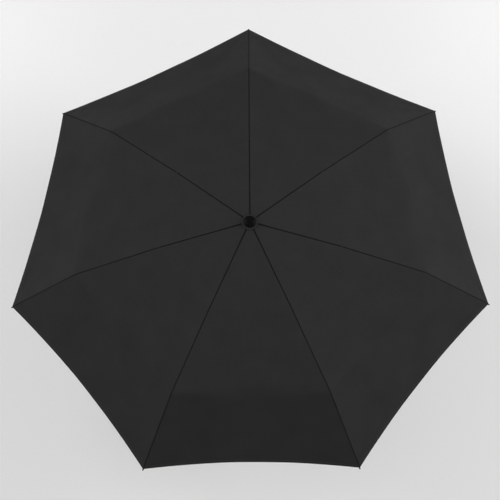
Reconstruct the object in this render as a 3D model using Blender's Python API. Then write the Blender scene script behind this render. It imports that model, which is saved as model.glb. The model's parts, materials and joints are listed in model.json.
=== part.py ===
"""A three-section folding umbrella with seven ribs, modelled open.

Metres. +Z runs up the shaft, from the handle to the cap. The origin is the centre of the
handle's flat end. Rib 1 points along +Y and the others follow clockwise, seen from above.

Every bar of a rib lies in a plane that holds the rib's own direction and Z. In that plane a
point is (r, z), and a bar is modelled in its own frame: its hinge at the origin, +X along
the bar, +Z towards the canopy and +Y sideways. Bars that pass each other lie in lanes side by
side along +Y, so that none of them meets another as the umbrella folds.
"""

import math

import bmesh
import bpy
from mathutils import Matrix, Vector

MM = 0.001
GAP = 0.3 * MM
BOOLEAN_SCALE = 1000

# ribs
RIB_COUNT = 7
RIB_STEP = 2 * math.pi / RIB_COUNT
FIRST_AZIMUTH = math.radians(90)
INNER_LENGTH = 171 * MM
MIDDLE_LENGTH = 174 * MM
OUTER_LENGTH = 183.5 * MM
INNER_SLOPE = math.radians(-10.6)
MIDDLE_SLOPE = math.radians(-16.6)
OUTER_SLOPE = math.radians(-41.2)
HINGE_RADIUS = 12 * MM
JOINT_RISE = 1.8 * MM
BAR_HALF_HEIGHT = 1.2 * MM
BAR_HALF_WIDTH = 1.2 * MM
CHANNEL_WALL = 0.45 * MM
CHANNEL_END = 5 * MM
BAR_START = 2.4 * MM
PIN_RADIUS = 0.55 * MM
PIN_HOLE_RADIUS = 0.9 * MM
RIVET_HEAD_RADIUS = 1.1 * MM
RIVET_HEAD_HEIGHT = 0.5 * MM
LUG_RADIUS = 1.4 * MM
LUG_TOE = 0.6 * MM
EAR_RADIUS = 1.5 * MM
EAR_END = 12 * MM
SPACER_START = 4 * MM
SPACER_END = 11 * MM
SPACER_HALF_HEIGHT = 0.8 * MM
CROWN_EYE_RADIUS = 1.6 * MM

# stretchers and links
STRETCHER_REACH = 82 * MM
STRETCHER_LENGTH = 97 * MM
STRETCHER_HALF_HEIGHT = 1.3 * MM
LINK_HALF_HEIGHT = 0.9 * MM
LINK_FOOT_RADIUS = 1.5 * MM
LINK_TOP_RADIUS = 1.3 * MM
TAIL_LENGTH = 12 * MM
TAIL_ANGLE = math.radians(-147)
EAR_LANE = (1.6 * MM, 2.4 * MM)
LINK_LANE = (2.7 * MM, 3.4 * MM)
STRETCHER_LANE = (3.7 * MM, 4.7 * MM)
EAR_MIDDLE = sum(EAR_LANE) / 2

# outer rib and its tip
ROD_RADIUS = 1.1 * MM
ROD_TIP_RADIUS = 0.85 * MM
TIP_CAP_RADIUS = 1.7 * MM
TIP_CAP_LENGTH = 10 * MM
ROOT_END = 14 * MM
OUTER_TAIL_LENGTH = 6 * MM
OUTER_TAIL_ANGLE = math.radians(190)

# shaft: three tubes, the widest at the top
HANDLE_LENGTH = 54 * MM
HANDLE_RADIUS = 15 * MM
HANDLE_WAIST_RADIUS = 13.4 * MM
PLUG_RADIUS = 11.4 * MM
PLUG_FLANGE = 5.6 * MM
PLUG_LENGTH = 22 * MM
STRAP_EYE_SETBACK = 0.4 * MM
STRAP_EYE_HALF_HEIGHT = 3.6 * MM
STRAP_EYE_REACH = 6.1 * MM
STRAP_EYE_HALF_WIDTH = 0.9 * MM
STRAP_EYE_BAR = 1.6 * MM
LOWER_TUBE_RADIUS = 3.4 * MM
MIDDLE_TUBE_RADIUS = 4.8 * MM
TOP_TUBE_RADIUS = 6.5 * MM
TUBE_WALL = 0.5 * MM
TUBE_LENGTH = 203 * MM
TOP_TUBE_LENGTH = 209 * MM
TUBE_OVERLAP = 28 * MM
LOWER_TUBE_START = 12 * MM
TUBE_SIDES = 20
RING_SHELL = 1.2 * MM
RING_WALL = 0.6 * MM
RING_FIT = 0.2 * MM
COLLAR_PLUG_DEPTH = 4 * MM
BUSH_DEPTH = 6 * MM

# crown, cap and runner
CROWN_FLANGE_RADIUS = 14 * MM
CROWN_HALF_HEIGHT = 3 * MM
CROWN_SLEEVE_DEPTH = 12 * MM
CROWN_ABOVE_TUBE = 1.4 * MM
SLEEVE_WALL = 2 * MM
SLOT_FLOOR_RADIUS = 9.6 * MM
STUD_RADIUS = 3 * MM
STUD_HEIGHT = 8.2 * MM
RING_WIRE_RADIUS = 0.45 * MM
RING_GROOVE_HALF = 0.8 * MM
CAP_RADIUS = 11.9 * MM
CAP_RIM = 1.6 * MM
CAP_HEIGHT = 5.8 * MM
CAP_FLAT_RADIUS = 3 * MM
CAP_CHAMFER = 0.6 * MM
DISC_RADIUS = 15.5 * MM
DISC_DROOP = 0.55 * MM
HUB_SIDES = 28
RUNNER_LENGTH = 24 * MM
COLLAR_RADIUS = 13 * MM
COLLAR_HEIGHT = 10 * MM

# spring catch below the open runner
CATCH_AZIMUTH = math.radians(-90)
CATCH_WIDTH = 2.6 * MM
CATCH_THICKNESS = 0.3 * MM
CATCH_SETBACK = 0.35 * MM
CATCH_LENGTH = 26 * MM
CATCH_NOSE = 7 * MM
CATCH_RAMP = 4 * MM
CATCH_REACH = 0.78 * MM
CATCH_BELOW_RUNNER = 1.5 * MM

# canopy
FABRIC = 0.5 * MM
CANOPY_TOP = 3.9 * MM
LIFT_AT_INNER_JOINT = 4.2 * MM
LIFT_AT_MIDDLE_JOINT = 2.4 * MM
LIFT_AT_TIP = 2.4 * MM
TIP_MARGIN = 5 * MM
HEM_CUT = 15 * MM
GORE_ACROSS = 6
GORE_STEPS = (1, 3, 3, 4)

# heights up the shaft
LOWER_TUBE_TOP = HANDLE_LENGTH + TUBE_LENGTH
MIDDLE_TUBE_FOOT = LOWER_TUBE_TOP - TUBE_OVERLAP
MIDDLE_TUBE_TOP = MIDDLE_TUBE_FOOT + TUBE_LENGTH
TOP_TUBE_FOOT = MIDDLE_TUBE_TOP - TUBE_OVERLAP
TOP_TUBE_TOP = TOP_TUBE_FOOT + TOP_TUBE_LENGTH
CROWN_Z = TOP_TUBE_TOP + CROWN_ABOVE_TUBE - CROWN_HALF_HEIGHT
DISC_FOOT = CROWN_Z + CANOPY_TOP + FABRIC / 2 + GAP


# the linkage, in a rib's plane


def direction(angle):
    """The unit vector (r, z) at an angle above the horizontal."""
    return Vector((math.cos(angle), math.sin(angle)))


def at(start, angle, along, towards_canopy=0.0):
    """The point a distance along a bar, and a distance off it on its canopy side."""
    normal = direction(angle + math.pi / 2)
    return start + direction(angle) * along + normal * towards_canopy


def rib_pivots(inner_angle, middle_angle, outer_angle):
    """The rib's pivots and tip in its plane, at these angles of its three bars."""
    crown = Vector((HINGE_RADIUS, CROWN_Z))
    inner_joint = at(crown, inner_angle, INNER_LENGTH, JOINT_RISE)
    middle_joint = at(inner_joint, middle_angle, MIDDLE_LENGTH, -2 * JOINT_RISE)
    return {
        "crown": crown,
        "stretcher_top": at(crown, inner_angle, STRETCHER_REACH),
        "inner_joint": inner_joint,
        "link_foot": at(inner_joint, middle_angle + TAIL_ANGLE, TAIL_LENGTH),
        "middle_joint": middle_joint,
        "tip": at(middle_joint, outer_angle, OUTER_LENGTH, JOINT_RISE),
    }


def with_stretcher(pivots, stretcher_angle, link_offset):
    """The same pivots, with the stretcher's foot and the link's top added."""
    top = pivots["stretcher_top"]
    pivots["stretcher_foot"] = at(top, stretcher_angle, -STRETCHER_LENGTH)
    pivots["link_top"] = at(top, stretcher_angle, -link_offset)
    return pivots


def open_stretcher_angle():
    """The stretcher's slope when the umbrella is open and its foot is at the hinge radius."""
    top = rib_pivots(INNER_SLOPE, MIDDLE_SLOPE, OUTER_SLOPE)["stretcher_top"]
    return math.acos((top.x - HINGE_RADIUS) / STRETCHER_LENGTH)


UP = math.pi / 2
OPEN_ANGLES = (INNER_SLOPE, MIDDLE_SLOPE, OUTER_SLOPE)
FOLDED_ANGLES = (-UP, UP, -UP)
STRETCHER_SLOPE = open_stretcher_angle()


def link_length(link_offset, angles, stretcher_angle):
    """How long the link must be when its top is this far below the stretcher's top."""
    pivots = with_stretcher(rib_pivots(*angles), stretcher_angle, link_offset)
    return (pivots["link_top"] - pivots["link_foot"]).length


def fitting_link_offset():
    """Where the link joins the stretcher so that one length fits both open and folded."""
    low, high = 2 * MM, 30 * MM
    for _ in range(50):
        middle = (low + high) / 2
        spare = link_length(middle, OPEN_ANGLES, STRETCHER_SLOPE)
        spare -= link_length(middle, FOLDED_ANGLES, UP)
        low, high = (middle, high) if spare < 0 else (low, middle)
    return (low + high) / 2


LINK_OFFSET = fitting_link_offset()
OPEN = with_stretcher(rib_pivots(*OPEN_ANGLES), STRETCHER_SLOPE, LINK_OFFSET)
LINK_LENGTH = (OPEN["link_top"] - OPEN["link_foot"]).length
RUNNER_Z = OPEN["stretcher_foot"].y
CATCH_TOP = RUNNER_Z - RUNNER_LENGTH - CATCH_BELOW_RUNNER


def slope_between(start, end):
    """The angle of the line from one point of the rib's plane to another."""
    return math.atan2(end.y - start.y, end.x - start.x)


OPEN_LINK_SLOPE = slope_between(OPEN["link_foot"], OPEN["link_top"])


# materials


def material(name, colour, roughness, metallic=0.0):
    """A plain Principled material."""
    made = bpy.data.materials.new(name)
    made.use_nodes = True
    shader = made.node_tree.nodes["Principled BSDF"]
    shader.inputs["Base Color"].default_value = (*colour, 1)
    shader.inputs["Roughness"].default_value = roughness
    shader.inputs["Metallic"].default_value = metallic
    return made


# solids, as closed meshes


def finished(shape, name):
    """A mesh from a bmesh whose faces all point out."""
    bmesh.ops.recalc_face_normals(shape, faces=shape.faces)
    mesh = bpy.data.meshes.new(name)
    shape.to_mesh(mesh)
    shape.free()
    return mesh


def arc(centre, radius, start, end, steps):
    """Points round part of a circle, both ends included, angles in degrees."""
    angles = [math.radians(start + (end - start) * i / steps) for i in range(steps + 1)]
    return [(centre[0] + radius * math.cos(a), centre[1] + radius * math.sin(a)) for a in angles]


def plate(outline, side_from, side_to):
    """An outline in a bar's (x, z), given a thickness along y."""
    shape = bmesh.new()
    face = shape.faces.new([shape.verts.new((x, side_from, z)) for x, z in outline])
    grown = bmesh.ops.extrude_face_region(shape, geom=[face])
    moved = [v for v in grown["geom"] if isinstance(v, bmesh.types.BMVert)]
    bmesh.ops.translate(shape, verts=moved, vec=(0, side_to - side_from, 0))
    return finished(shape, "plate")


def hull_plate(points, side_from, side_to):
    """The smallest convex plate that holds these points of a bar's (x, z)."""
    shape = bmesh.new()
    for side in (side_from, side_to):
        for x, z in points:
            shape.verts.new((x, side, z))
    hull = bmesh.ops.convex_hull(shape, input=shape.verts)
    spare = [v for v in hull["geom_interior"] if isinstance(v, bmesh.types.BMVert)]
    bmesh.ops.delete(shape, geom=spare, context="VERTS")
    bmesh.ops.dissolve_limit(
        shape, angle_limit=math.radians(1), verts=shape.verts, edges=shape.edges
    )
    return finished(shape, "ear")


def block(low, high):
    """A box between two corners."""
    shape = bmesh.new()
    bmesh.ops.create_cube(shape, size=1)
    low, high = Vector(low), Vector(high)
    for v in shape.verts:
        v.co = Vector(h if c > 0 else l for c, l, h in zip(v.co, low, high))
    return finished(shape, "block")


def sideways_pin(centre, radius, side_from, side_to):
    """A small six-sided pin along y through a point of a bar's (x, z)."""
    return plate(arc(centre, radius, 30, 330, 5), side_from, side_to)


def turned(profile, sides, turn=0.0):
    """A profile of (radius, height) points turned round Z. It runs round a ring's section,
    or from the axis back to the axis."""
    shape = bmesh.new()
    points = [shape.verts.new((radius, 0, height)) for radius, height in profile]
    edges = [shape.edges.new(pair) for pair in zip(points, points[1:])]
    if all(radius > 0 for radius, _ in profile):
        edges.append(shape.edges.new((points[-1], points[0])))
    bmesh.ops.spin(
        shape, geom=points + edges, cent=(0, 0, 0), axis=(0, 0, 1), angle=2 * math.pi, steps=sides
    )
    bmesh.ops.remove_doubles(shape, verts=shape.verts, dist=0.001 * MM)
    bmesh.ops.rotate(shape, verts=shape.verts, matrix=Matrix.Rotation(turn, 3, "Z"))
    return finished(shape, "turned")


def combined(base, other, operation):
    """A solid with another one added to it or cut out of it. The Boolean works at a thousand
    times the size, where its rounding is small beside the gaps."""
    for mesh in (base, other):
        mesh.transform(Matrix.Scale(BOOLEAN_SCALE, 4))
    first = bpy.data.objects.new("base", base)
    second = bpy.data.objects.new("other", other)
    for temporary in (first, second):
        bpy.context.scene.collection.objects.link(temporary)
    step = first.modifiers.new("step", "BOOLEAN")
    step.object = second
    step.operation = operation
    step.solver = "EXACT"
    graph = bpy.context.evaluated_depsgraph_get()
    made = bpy.data.meshes.new_from_object(first.evaluated_get(graph))
    made.transform(Matrix.Scale(1 / BOOLEAN_SCALE, 4))
    for temporary in (first, second):
        bpy.data.objects.remove(temporary)
    for used in (base, other):
        bpy.data.meshes.remove(used)
    return made


def add(base, *others):
    """The union of solids that overlap."""
    for other in others:
        base = combined(base, other, "UNION")
    return base


def cut(base, *others):
    """A solid with others cut out of it."""
    for other in others:
        base = combined(base, other, "DIFFERENCE")
    return base


def placed(mesh, matrix):
    """The mesh, moved."""
    mesh.transform(matrix)
    return mesh


def part(name, mesh, look, matrix=None, smooth=False):
    """The finished object of one sub-part."""
    made = bpy.data.objects.new(name, mesh)
    bpy.context.scene.collection.objects.link(made)
    made.matrix_world = matrix or Matrix()
    if not mesh.materials:
        mesh.materials.append(look)
    if smooth:
        mesh.shade_smooth()
        mesh.set_sharp_from_angle(angle=math.radians(35))
    return made


# a rib's place


def rib_azimuth(rib):
    """A rib's direction round the shaft, with ribs counted from 0."""
    return FIRST_AZIMUTH - rib * RIB_STEP


def rib_frame(rib, pivot, slope):
    """The matrix from a bar's own frame to the world."""
    turn = Matrix.Rotation(rib_azimuth(rib), 4, "Z")
    shift = Matrix.Translation((pivot.x, 0, pivot.y))
    return turn @ shift @ Matrix.Rotation(-slope, 4, "Y")


# bars


def channel(start, end, web_at, open_to):
    """The cutter that hollows a bar into a channel, open on its underside."""
    half = BAR_HALF_WIDTH - CHANNEL_WALL
    return block((start, -half, open_to), (end, half, web_at))


def inner_rib_mesh():
    """The inner rib: an eye on the crown's ring, a channel, and a lug at the inner joint."""
    half = BAR_HALF_HEIGHT
    eye = math.degrees(math.asin(half / CROWN_EYE_RADIUS))
    lug = math.degrees(math.asin((JOINT_RISE - half) / LUG_RADIUS))
    outline = arc((0, 0), CROWN_EYE_RADIUS, eye, 360 - eye, 6)
    outline += [(INNER_LENGTH + LUG_TOE, -half)]
    outline += arc((INNER_LENGTH, JOINT_RISE), LUG_RADIUS, -30, 180 + lug, 5)
    bar = plate(outline, -BAR_HALF_WIDTH, BAR_HALF_WIDTH)
    eye_hole = sideways_pin((0, 0), PIN_HOLE_RADIUS, -EAR_MIDDLE, EAR_MIDDLE)
    lug_hole = sideways_pin((INNER_LENGTH, JOINT_RISE), PIN_HOLE_RADIUS, -EAR_MIDDLE, EAR_MIDDLE)
    inside = channel(CHANNEL_END, INNER_LENGTH - CHANNEL_END, half - CHANNEL_WALL, -2 * half)
    return cut(bar, eye_hole, lug_hole, inside)


def rivet():
    """The pin of an ear's hinge, its wider head beyond the bar that turns on it."""
    head_side = -BAR_HALF_WIDTH - GAP - RIVET_HEAD_HEIGHT
    pin = sideways_pin((0, 0), PIN_RADIUS, head_side + RIVET_HEAD_HEIGHT / 2, EAR_MIDDLE)
    head = sideways_pin((0, 0), RIVET_HEAD_RADIUS, head_side, head_side + RIVET_HEAD_HEIGHT)
    return add(pin, head)


def spacer(line):
    """The web that joins a bar, at its height off the hinge's line, to its ear."""
    low = (SPACER_START, BAR_HALF_WIDTH - GAP, line - SPACER_HALF_HEIGHT)
    return block(low, (SPACER_END, EAR_MIDDLE, line + SPACER_HALF_HEIGHT))


def middle_rib_mesh():
    """The middle rib: a channel, with an ear beside the inner rib that carries the link."""
    half = BAR_HALF_HEIGHT
    line = -JOINT_RISE
    lug = math.degrees(math.asin((JOINT_RISE - half) / LUG_RADIUS))
    outline = [(BAR_START, line + half), (BAR_START, line - half)]
    outline += arc((MIDDLE_LENGTH, 2 * line), LUG_RADIUS, 180 - lug, 390, 5)
    outline += [(MIDDLE_LENGTH + LUG_TOE, line + half)]
    bar = plate(outline, -BAR_HALF_WIDTH, BAR_HALF_WIDTH)
    lug_hole = sideways_pin((MIDDLE_LENGTH, 2 * line), PIN_HOLE_RADIUS, -EAR_MIDDLE, EAR_MIDDLE)
    inside = channel(
        SPACER_END, MIDDLE_LENGTH - CHANNEL_END, line + half - CHANNEL_WALL, line - 2 * half
    )
    foot = direction(TAIL_ANGLE) * TAIL_LENGTH
    ear_points = arc((0, 0), EAR_RADIUS, 0, 315, 7) + arc(foot, EAR_RADIUS, 0, 315, 7)
    ear_points += [(EAR_END, line - SPACER_HALF_HEIGHT), (EAR_END, line + SPACER_HALF_HEIGHT)]
    ear = hull_plate(ear_points, *EAR_LANE)
    link_pin = sideways_pin(foot, PIN_RADIUS, EAR_MIDDLE, LINK_LANE[1])
    return add(cut(bar, lug_hole, inside), spacer(line), ear, rivet(), link_pin)


def outer_rib_mesh():
    """The outer rib: an ear and a block at the middle joint, a tapered rod and its tip cap."""
    half = BAR_HALF_HEIGHT
    line = JOINT_RISE
    root = block(
        (BAR_START, -BAR_HALF_WIDTH, line - half), (ROOT_END, BAR_HALF_WIDTH, line + half)
    )
    tail = direction(OUTER_TAIL_ANGLE) * OUTER_TAIL_LENGTH
    ear_points = arc((0, 0), EAR_RADIUS, 0, 315, 7) + arc(tail, BAR_HALF_WIDTH, 0, 315, 7)
    ear_points += [(EAR_END, line - SPACER_HALF_HEIGHT), (EAR_END, line + SPACER_HALF_HEIGHT)]
    ear = hull_plate(ear_points, *EAR_LANE)
    cap_start = OUTER_LENGTH - TIP_CAP_LENGTH
    rod_profile = [
        (0, EAR_END),
        (ROD_RADIUS, EAR_END),
        (ROD_TIP_RADIUS, cap_start),
        (TIP_CAP_RADIUS * 0.75, cap_start),
        (TIP_CAP_RADIUS * 0.75, cap_start + TIP_CAP_LENGTH * 0.5),
        (TIP_CAP_RADIUS, cap_start + TIP_CAP_LENGTH * 0.75),
        (TIP_CAP_RADIUS * 0.8, cap_start + TIP_CAP_LENGTH * 0.92),
        (TIP_CAP_RADIUS * 0.35, OUTER_LENGTH),
        (0, OUTER_LENGTH),
    ]
    lie_down = Matrix.Translation((0, 0, line)) @ Matrix.Rotation(math.radians(90), 4, "Y")
    rod = placed(turned(rod_profile, 10, math.radians(9)), lie_down)
    return add(root, rod, spacer(line), ear, rivet())


def stretcher_mesh():
    """The stretcher, from the runner's ring up to its eye beside the inner rib."""
    half = STRETCHER_HALF_HEIGHT
    outline = arc((0, 0), half, 90, 270, 5) + arc((STRETCHER_LENGTH, 0), half, -90, 90, 5)
    bar = plate(outline, *STRETCHER_LANE)
    holes = [
        sideways_pin((along, 0), PIN_HOLE_RADIUS, LINK_LANE[1], STRETCHER_LANE[1] + GAP)
        for along in (0, STRETCHER_LENGTH)
    ]
    link_at = (STRETCHER_LENGTH - LINK_OFFSET, 0)
    link_hole = sideways_pin(link_at, PIN_RADIUS, LINK_LANE[1], STRETCHER_LANE[1] + GAP)
    return cut(bar, *holes, link_hole)


def link_mesh():
    """The link, from the middle rib's ear to the stretcher."""
    half = LINK_HALF_HEIGHT
    neck = BAR_START
    foot = arc((0, 0), LINK_FOOT_RADIUS, 40, 320, 6)
    top = arc((LINK_LENGTH, 0), LINK_TOP_RADIUS, -140, 140, 5)
    underside = [(neck, -half), (LINK_LENGTH - neck, -half)]
    upper_side = [(LINK_LENGTH - neck, half), (neck, half)]
    bar = plate(foot + underside + top + upper_side, *LINK_LANE)
    foot_hole = sideways_pin((0, 0), PIN_HOLE_RADIUS, EAR_LANE[1], STRETCHER_LANE[0])
    top_hole = sideways_pin((LINK_LENGTH, 0), PIN_RADIUS, EAR_LANE[1], STRETCHER_LANE[0])
    return cut(bar, foot_hole, top_hole)


def build_ribs(steel, dark_steel, glass_rod):
    """Seven sets of bars. Each kind of bar shares one mesh."""
    bars = (
        ("inner_rib", inner_rib_mesh(), dark_steel, OPEN["crown"], INNER_SLOPE),
        ("middle_rib", middle_rib_mesh(), dark_steel, OPEN["inner_joint"], MIDDLE_SLOPE),
        ("outer_rib", outer_rib_mesh(), glass_rod, OPEN["middle_joint"], OUTER_SLOPE),
        ("stretcher", stretcher_mesh(), dark_steel, OPEN["stretcher_foot"], STRETCHER_SLOPE),
        ("link", link_mesh(), steel, OPEN["link_foot"], OPEN_LINK_SLOPE),
    )
    for kind, mesh, look, pivot, slope in bars:
        for rib in range(RIB_COUNT):
            part(f"{kind}_{rib + 1}", mesh, look, rib_frame(rib, pivot, slope), smooth=True)


# crown, runner and shaft


def ring_mesh(height):
    """A wire ring with one straight side at each rib, its sides at the hinge radius."""
    section = arc((HINGE_RADIUS, height), RING_WIRE_RADIUS, 0, 300, 5)
    corner = 1 / math.cos(RIB_STEP / 2)
    profile = [(radius * corner, z) for radius, z in section]
    return turned(profile, RIB_COUNT, FIRST_AZIMUTH + RIB_STEP / 2)


def groove_mesh(height, top):
    """The cutter for the groove that a wire ring is laid into from above."""
    corner = 1 / math.cos(RIB_STEP / 2)
    low, high = (HINGE_RADIUS - RING_GROOVE_HALF), (HINGE_RADIUS + RING_GROOVE_HALF)
    section = [
        (low * corner, height - RING_GROOVE_HALF),
        (high * corner, height - RING_GROOVE_HALF),
        (high * corner, top),
        (low * corner, top),
    ]
    return turned(section, RIB_COUNT, FIRST_AZIMUTH + RIB_STEP / 2)


def slots_mesh(side_from, side_to, low, high):
    """The cutter for the ribs' slots through a flange: a box for each rib."""
    shape = bmesh.new()
    for rib in range(RIB_COUNT):
        box = block((SLOT_FLOOR_RADIUS, side_from, low), (20 * MM, side_to, high))
        shape.from_mesh(placed(box, Matrix.Rotation(rib_azimuth(rib), 4, "Z")))
        bpy.data.meshes.remove(box)
    return finished(shape, "slots")


def notched(body, height, side_from, side_to):
    """A flange with a groove for its ring and a slot for each rib."""
    low, high = height - 4 * MM, height + 4 * MM
    body = cut(body, slots_mesh(side_from, side_to, low, high))
    return cut(body, groove_mesh(height, high))


def crown_mesh():
    """The crown: a socket over the tube, a slotted flange, and a stud for the cap."""
    bore = TOP_TUBE_RADIUS + GAP
    top = CROWN_Z + CROWN_HALF_HEIGHT
    profile = [
        (0, TOP_TUBE_TOP + GAP),
        (bore, TOP_TUBE_TOP + GAP),
        (bore, CROWN_Z - CROWN_SLEEVE_DEPTH),
        (bore + SLEEVE_WALL, CROWN_Z - CROWN_SLEEVE_DEPTH),
        (bore + SLEEVE_WALL, CROWN_Z - CROWN_HALF_HEIGHT),
        (CROWN_FLANGE_RADIUS, CROWN_Z - CROWN_HALF_HEIGHT),
        (CROWN_FLANGE_RADIUS, top),
        (STUD_RADIUS, top),
        (STUD_RADIUS, CROWN_Z + STUD_HEIGHT),
        (0, CROWN_Z + STUD_HEIGHT),
    ]
    body = turned(profile, HUB_SIDES)
    clearance = BAR_HALF_WIDTH + GAP
    return notched(body, CROWN_Z, -clearance, clearance)


def cap_mesh():
    """The cap: a shallow dome with a small flat top, and a blind hole for the stud."""
    foot = DISC_FOOT + FABRIC + GAP
    rim = foot + CAP_RIM
    top = foot + CAP_HEIGHT
    bore = STUD_RADIUS + GAP
    bore_top = CROWN_Z + STUD_HEIGHT + GAP
    dome = [
        (
            CAP_FLAT_RADIUS + (CAP_RADIUS - CAP_FLAT_RADIUS) * math.cos(a),
            rim + (top - rim) * math.sin(a),
        )
        for a in (math.radians(15 * i) for i in range(7))
    ]
    profile = [(0, bore_top), (bore, bore_top), (bore, foot), (CAP_RADIUS - CAP_CHAMFER, foot)]
    return turned(profile + dome + [(0, top)], HUB_SIDES)


def disc_mesh():
    """The round of fabric between the cap and the canopy."""
    profile = [
        (STUD_RADIUS + GAP, DISC_FOOT),
        (CAP_RADIUS, DISC_FOOT),
        (DISC_RADIUS, DISC_FOOT - DISC_DROOP),
        (DISC_RADIUS, DISC_FOOT - DISC_DROOP + FABRIC),
        (CAP_RADIUS, DISC_FOOT + FABRIC),
        (STUD_RADIUS + GAP, DISC_FOOT + FABRIC),
    ]
    return turned(profile, HUB_SIDES)


def catch_turn():
    """The turn from +X to the catch's side of the shaft."""
    return Matrix.Rotation(CATCH_AZIMUTH, 4, "Z")


def runner_mesh():
    """The runner: a sleeve on the top tube under a slotted flange, split to clear the catch."""
    bore = TOP_TUBE_RADIUS + GAP
    foot = RUNNER_Z - RUNNER_LENGTH
    profile = [
        (bore, foot),
        (bore + SLEEVE_WALL, foot),
        (bore + SLEEVE_WALL, RUNNER_Z - CROWN_HALF_HEIGHT),
        (CROWN_FLANGE_RADIUS, RUNNER_Z - CROWN_HALF_HEIGHT),
        (CROWN_FLANGE_RADIUS, RUNNER_Z + CROWN_HALF_HEIGHT),
        (bore, RUNNER_Z + CROWN_HALF_HEIGHT),
    ]
    body = turned(profile, HUB_SIDES)
    body = notched(body, RUNNER_Z, STRETCHER_LANE[0] - GAP, STRETCHER_LANE[1] + GAP)
    half = CATCH_WIDTH / 2 + 2 * GAP
    outside = bore + SLEEVE_WALL + GAP
    way = block((0, -half, foot - GAP), (outside, half, RUNNER_Z + CROWN_HALF_HEIGHT + GAP))
    return cut(body, placed(way, catch_turn()))


def collar_mesh():
    """The grip ring round the runner's foot."""
    foot = RUNNER_Z - RUNNER_LENGTH
    bore = TOP_TUBE_RADIUS + SLEEVE_WALL + 2 * GAP
    profile = [
        (bore, foot),
        (COLLAR_RADIUS - 1 * MM, foot),
        (COLLAR_RADIUS, foot + 1 * MM),
        (COLLAR_RADIUS - 1.4 * MM, foot + COLLAR_HEIGHT / 2),
        (COLLAR_RADIUS, foot + COLLAR_HEIGHT - 1 * MM),
        (COLLAR_RADIUS - 1 * MM, foot + COLLAR_HEIGHT),
        (bore, foot + COLLAR_HEIGHT),
    ]
    return turned(profile, HUB_SIDES)


def tube_mesh(radius, foot, top):
    """One tube of the shaft."""
    inside = radius - TUBE_WALL
    return turned([(inside, foot), (radius, foot), (radius, top), (inside, top)], TUBE_SIDES)


def catch_window():
    """The cutter for the catch's window in the top tube."""
    half = CATCH_WIDTH / 2 + GAP
    low, high = CATCH_TOP - CATCH_NOSE - GAP, CATCH_TOP + GAP
    window = block((LOWER_TUBE_RADIUS, -half, low), (TOP_TUBE_RADIUS + GAP, half, high))
    return placed(window, catch_turn())


def catch_mesh():
    """The spring catch: a leaf inside the top tube, with a wedge nose through its window."""
    half = CATCH_WIDTH / 2
    outer = TOP_TUBE_RADIUS - TUBE_WALL - CATCH_SETBACK
    inner = outer - CATCH_THICKNESS
    reach = TOP_TUBE_RADIUS + CATCH_REACH
    outline = [
        (inner, CATCH_TOP - CATCH_LENGTH),
        (outer, CATCH_TOP - CATCH_LENGTH),
        (outer, CATCH_TOP - CATCH_NOSE),
        (reach, CATCH_TOP - CATCH_NOSE + CATCH_RAMP),
        (reach, CATCH_TOP),
        (inner, CATCH_TOP),
    ]
    return placed(plate(outline, -half, half), catch_turn())


def build_shaft(chrome, steel, plastic):
    """The three tubes, with a bush at the foot and a stop collar at the top of each."""
    part(
        "lower_tube",
        tube_mesh(LOWER_TUBE_RADIUS, LOWER_TUBE_START, LOWER_TUBE_TOP),
        chrome,
        smooth=True,
    )
    part(
        "middle_tube",
        tube_mesh(MIDDLE_TUBE_RADIUS, MIDDLE_TUBE_FOOT, MIDDLE_TUBE_TOP),
        chrome,
        smooth=True,
    )
    top_tube = cut(tube_mesh(TOP_TUBE_RADIUS, TOP_TUBE_FOOT, TOP_TUBE_TOP), catch_window())
    part("top_tube", top_tube, chrome, smooth=True)
    part("catch", catch_mesh(), steel)
    stops = (
        ("lower_tube_collar", LOWER_TUBE_RADIUS, LOWER_TUBE_TOP),
        ("middle_tube_collar", MIDDLE_TUBE_RADIUS, MIDDLE_TUBE_TOP),
    )
    for name, radius, top in stops:
        part(name, stop_collar_mesh(radius, top), plastic, smooth=True)
    bushes = (
        ("middle_tube_bush", LOWER_TUBE_RADIUS, MIDDLE_TUBE_RADIUS, MIDDLE_TUBE_FOOT),
        ("top_tube_bush", MIDDLE_TUBE_RADIUS, TOP_TUBE_RADIUS, TOP_TUBE_FOOT),
    )
    for name, inner_radius, outer_radius, foot in bushes:
        part(name, bush_mesh(inner_radius, outer_radius, foot), plastic, smooth=True)


def stop_collar_mesh(radius, top):
    """The collar over a tube's top end, with a short plug inside it."""
    plug = radius - TUBE_WALL - GAP
    profile = [
        (plug - RING_WALL, top - COLLAR_PLUG_DEPTH),
        (plug, top - COLLAR_PLUG_DEPTH),
        (plug, top + GAP),
        (radius + RING_FIT, top + GAP),
        (radius + RING_FIT, top + RING_SHELL),
        (plug - RING_WALL, top + RING_SHELL),
    ]
    return turned(profile, TUBE_SIDES)


def bush_mesh(inner_radius, outer_radius, foot):
    """The bush in a tube's foot, which guides the tube inside it."""
    sleeve = outer_radius - TUBE_WALL - RING_FIT
    profile = [
        (inner_radius + RING_FIT, foot - RING_SHELL),
        (outer_radius, foot - RING_SHELL),
        (outer_radius, foot - GAP),
        (sleeve, foot - GAP),
        (sleeve, foot + BUSH_DEPTH),
        (inner_radius + RING_FIT, foot + BUSH_DEPTH),
    ]
    return turned(profile, TUBE_SIDES)


# handle


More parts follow.
